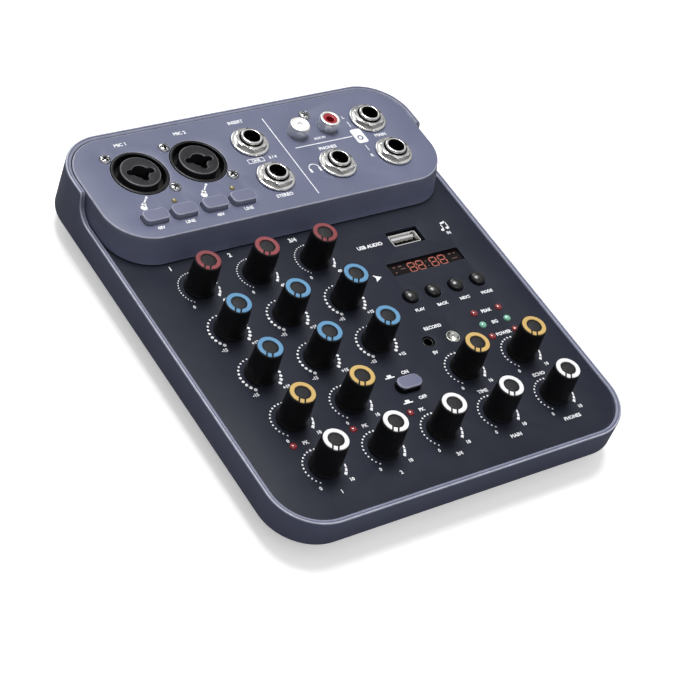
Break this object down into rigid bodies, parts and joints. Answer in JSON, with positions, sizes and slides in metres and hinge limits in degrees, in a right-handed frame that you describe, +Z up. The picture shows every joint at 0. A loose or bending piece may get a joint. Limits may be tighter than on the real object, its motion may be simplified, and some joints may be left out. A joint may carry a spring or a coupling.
{
  "type": "mixing console",
  "caption": "Compact desktop audio mixer with rotary level controls, push switches, a digit display and a raised rear block of microphone, line and phono sockets.",
  "frame": {"origin": "on the table surface, under the middle of the case", "axes": "+Z up, +Y towards the raised jack block at the rear, +X to the right"},
  "size_m": [0.16, 0.188, 0.0342],
  "materials": {
    "case_blue_grey": "fine satin moulded or coated surface",
    "cover_black": "fine textured black",
    "panel_dark": "fine matt printed surface",
    "knob_black": "matt moulded black",
    "cap_blue_grey": "satin moulded plastic",
    "button_gloss_black": "polished black",
    "foot_rubber": "matt rubber",
    "board_green": "solder-masked laminate",
    "socket_black": "moulded black with fine grain",
    "display_window": "dark glossy window",
    "bright_metal": "bright nickel plate",
    "ring_white": "satin white",
    "ring_yellow": "satin yellow",
    "ring_blue": "satin light blue",
    "ring_red": "satin red",
    "print_white": "printed ink",
    "led_red": "tinted clear lens",
    "led_green": "tinted clear lens",
    "led_yellow": "tinted clear lens",
    "phono_white": "glossy insulator",
    "phono_red": "glossy insulator"
  },
  "bodies": {
    "housing": {"bottom_cover": "cover_black", "combo_jack_left": "socket_black", "combo_jack_right": "socket_black", "combo_screw_left_1": "bright_metal", "combo_screw_left_2": "bright_metal", "combo_screw_right_1": "bright_metal", "combo_screw_right_2": "bright_metal", "control_panel": "panel_dark", "display_module": "display_window", "foot_front_left": "foot_rubber", "foot_front_right": "foot_rubber", "foot_rear_left": "foot_rubber", "foot_rear_right": "foot_rubber", "headphone_jack": "bright_metal", "headphone_jack_nut": "bright_metal", "insert_jack": "bright_metal", "insert_jack_nut": "bright_metal", "jack_block": "case_blue_grey", "jack_circuit_board": "board_green", "line_jack": "bright_metal", "line_jack_nut": "bright_metal", "main_circuit_board": "board_green", "main_left_jack": "bright_metal", "main_left_jack_nut": "bright_metal", "main_right_jack": "bright_metal", "main_right_jack_nut": "bright_metal", "metal_round_socket": "bright_metal", "phono_jacks": "bright_metal", "phono_screw": "bright_metal", "power_inlet": "socket_black", "small_round_socket": "socket_black", "top_case": "case_blue_grey", "usb_socket": "bright_metal"},
    "blue_knob_3_1_body": {"blue_knob_3_1": "knob_black"},
    "blue_knob_3_2_body": {"blue_knob_3_2": "knob_black"},
    "blue_knob_3_3_body": {"blue_knob_3_3": "knob_black"},
    "blue_knob_4_1_body": {"blue_knob_4_1": "knob_black"},
    "blue_knob_4_2_body": {"blue_knob_4_2": "knob_black"},
    "blue_knob_4_3_body": {"blue_knob_4_3": "knob_black"},
    "display_button_1_body": {"display_button_1": "button_gloss_black"},
    "display_button_2_body": {"display_button_2": "button_gloss_black"},
    "display_button_3_body": {"display_button_3": "button_gloss_black"},
    "display_button_4_body": {"display_button_4": "button_gloss_black"},
    "jack_block_button_1_body": {"jack_block_button_1": "cap_blue_grey"},
    "jack_block_button_2_body": {"jack_block_button_2": "cap_blue_grey"},
    "jack_block_button_3_body": {"jack_block_button_3": "cap_blue_grey"},
    "jack_block_button_4_body": {"jack_block_button_4": "cap_blue_grey"},
    "panel_button_body": {"panel_button": "cap_blue_grey"},
    "red_knob_5_1_body": {"red_knob_5_1": "knob_black"},
    "red_knob_5_2_body": {"red_knob_5_2": "knob_black"},
    "red_knob_5_3_body": {"red_knob_5_3": "knob_black"},
    "white_knob_1_1_body": {"white_knob_1_1": "knob_black"},
    "white_knob_1_2_body": {"white_knob_1_2": "knob_black"},
    "white_knob_1_3_body": {"white_knob_1_3": "knob_black"},
    "white_knob_1_4_body": {"white_knob_1_4": "knob_black"},
    "white_knob_1_5_body": {"white_knob_1_5": "knob_black"},
    "yellow_knob_2_1_body": {"yellow_knob_2_1": "knob_black"},
    "yellow_knob_2_2_body": {"yellow_knob_2_2": "knob_black"},
    "yellow_knob_2_4_body": {"yellow_knob_2_4": "knob_black"},
    "yellow_knob_2_5_body": {"yellow_knob_2_5": "knob_black"}
  },
  "joints": [
    {"name": "blue_knob_3_1_turn", "type": "hinge", "parent": "housing", "child": "blue_knob_3_1_body", "pos_m": [-0.0525, -0.0253, 0.0185], "axis": [0, 0, -1], "range_deg": [0, 280]},
    {"name": "blue_knob_3_2_turn", "type": "hinge", "parent": "housing", "child": "blue_knob_3_2_body", "pos_m": [-0.0265, -0.0253, 0.0185], "axis": [0, 0, -1], "range_deg": [0, 280]},
    {"name": "blue_knob_3_3_turn", "type": "hinge", "parent": "housing", "child": "blue_knob_3_3_body", "pos_m": [0, -0.0253, 0.0185], "axis": [0, 0, -1], "range_deg": [0, 280]},
    {"name": "blue_knob_4_1_turn", "type": "hinge", "parent": "housing", "child": "blue_knob_4_1_body", "pos_m": [-0.0525, -0.003, 0.0185], "axis": [0, 0, -1], "range_deg": [0, 280]},
    {"name": "blue_knob_4_2_turn", "type": "hinge", "parent": "housing", "child": "blue_knob_4_2_body", "pos_m": [-0.0265, -0.003, 0.0185], "axis": [0, 0, -1], "range_deg": [0, 280]},
    {"name": "blue_knob_4_3_turn", "type": "hinge", "parent": "housing", "child": "blue_knob_4_3_body", "pos_m": [0, -0.003, 0.0185], "axis": [0, 0, -1], "range_deg": [0, 280]},
    {"name": "display_button_1_press", "type": "slide", "parent": "housing", "child": "display_button_1_body", "axis": [0, 0, -1], "range_m": [0, 0.0007], "stiffness_N_per_m": 600},
    {"name": "display_button_2_press", "type": "slide", "parent": "housing", "child": "display_button_2_body", "axis": [0, 0, -1], "range_m": [0, 0.0007], "stiffness_N_per_m": 600},
    {"name": "display_button_3_press", "type": "slide", "parent": "housing", "child": "display_button_3_body", "axis": [0, 0, -1], "range_m": [0, 0.0007], "stiffness_N_per_m": 600},
    {"name": "display_button_4_press", "type": "slide", "parent": "housing", "child": "display_button_4_body", "axis": [0, 0, -1], "range_m": [0, 0.0007], "stiffness_N_per_m": 600},
    {"name": "jack_block_button_1_press", "type": "slide", "parent": "housing", "child": "jack_block_button_1_body", "axis": [0, 0, -1], "range_m": [0, 0.0016], "stiffness_N_per_m": 500},
    {"name": "jack_block_button_2_press", "type": "slide", "parent": "housing", "child": "jack_block_button_2_body", "axis": [0, 0, -1], "range_m": [0, 0.0016], "stiffness_N_per_m": 500},
    {"name": "jack_block_button_3_press", "type": "slide", "parent": "housing", "child": "jack_block_button_3_body", "axis": [0, 0, -1], "range_m": [0, 0.0016], "stiffness_N_per_m": 500},
    {"name": "jack_block_button_4_press", "type": "slide", "parent": "housing", "child": "jack_block_button_4_body", "axis": [0, 0, -1], "range_m": [0, 0.0016], "stiffness_N_per_m": 500},
    {"name": "panel_button_press", "type": "slide", "parent": "housing", "child": "panel_button_body", "axis": [0, 0, -1], "range_m": [0, 0.0016], "stiffness_N_per_m": 500},
    {"name": "red_knob_5_1_turn", "type": "hinge", "parent": "housing", "child": "red_knob_5_1_body", "pos_m": [-0.0525, 0.0193, 0.0185], "axis": [0, 0, -1], "range_deg": [0, 280]},
    {"name": "red_knob_5_2_turn", "type": "hinge", "parent": "housing", "child": "red_knob_5_2_body", "pos_m": [-0.0265, 0.0193, 0.0185], "axis": [0, 0, -1], "range_deg": [0, 280]},
    {"name": "red_knob_5_3_turn", "type": "hinge", "parent": "housing", "child": "red_knob_5_3_body", "pos_m": [0, 0.0193, 0.0185], "axis": [0, 0, -1], "range_deg": [0, 280]},
    {"name": "white_knob_1_1_turn", "type": "hinge", "parent": "housing", "child": "white_knob_1_1_body", "pos_m": [-0.0525, -0.07, 0.0185], "axis": [0, 0, -1], "range_deg": [0, 280]},
    {"name": "white_knob_1_2_turn", "type": "hinge", "parent": "housing", "child": "white_knob_1_2_body", "pos_m": [-0.0265, -0.07, 0.0185], "axis": [0, 0, -1], "range_deg": [0, 280]},
    {"name": "white_knob_1_3_turn", "type": "hinge", "parent": "housing", "child": "white_knob_1_3_body", "pos_m": [0, -0.07, 0.0185], "axis": [0, 0, -1], "range_deg": [0, 280]},
    {"name": "white_knob_1_4_turn", "type": "hinge", "parent": "housing", "child": "white_knob_1_4_body", "pos_m": [0.0268, -0.07, 0.0185], "axis": [0, 0, -1], "range_deg": [0, 280]},
    {"name": "white_knob_1_5_turn", "type": "hinge", "parent": "housing", "child": "white_knob_1_5_body", "pos_m": [0.0545, -0.07, 0.0185], "axis": [0, 0, -1], "range_deg": [0, 280]},
    {"name": "yellow_knob_2_1_turn", "type": "hinge", "parent": "housing", "child": "yellow_knob_2_1_body", "pos_m": [-0.0525, -0.04765, 0.0185], "axis": [0, 0, -1], "range_deg": [0, 280]},
    {"name": "yellow_knob_2_2_turn", "type": "hinge", "parent": "housing", "child": "yellow_knob_2_2_body", "pos_m": [-0.0265, -0.04765, 0.0185], "axis": [0, 0, -1], "range_deg": [0, 280]},
    {"name": "yellow_knob_2_4_turn", "type": "hinge", "parent": "housing", "child": "yellow_knob_2_4_body", "pos_m": [0.0268, -0.04765, 0.0185], "axis": [0, 0, -1], "range_deg": [0, 280]},
    {"name": "yellow_knob_2_5_turn", "type": "hinge", "parent": "housing", "child": "yellow_knob_2_5_body", "pos_m": [0.0545, -0.04765, 0.0185], "axis": [0, 0, -1], "range_deg": [0, 280]}
  ]
}
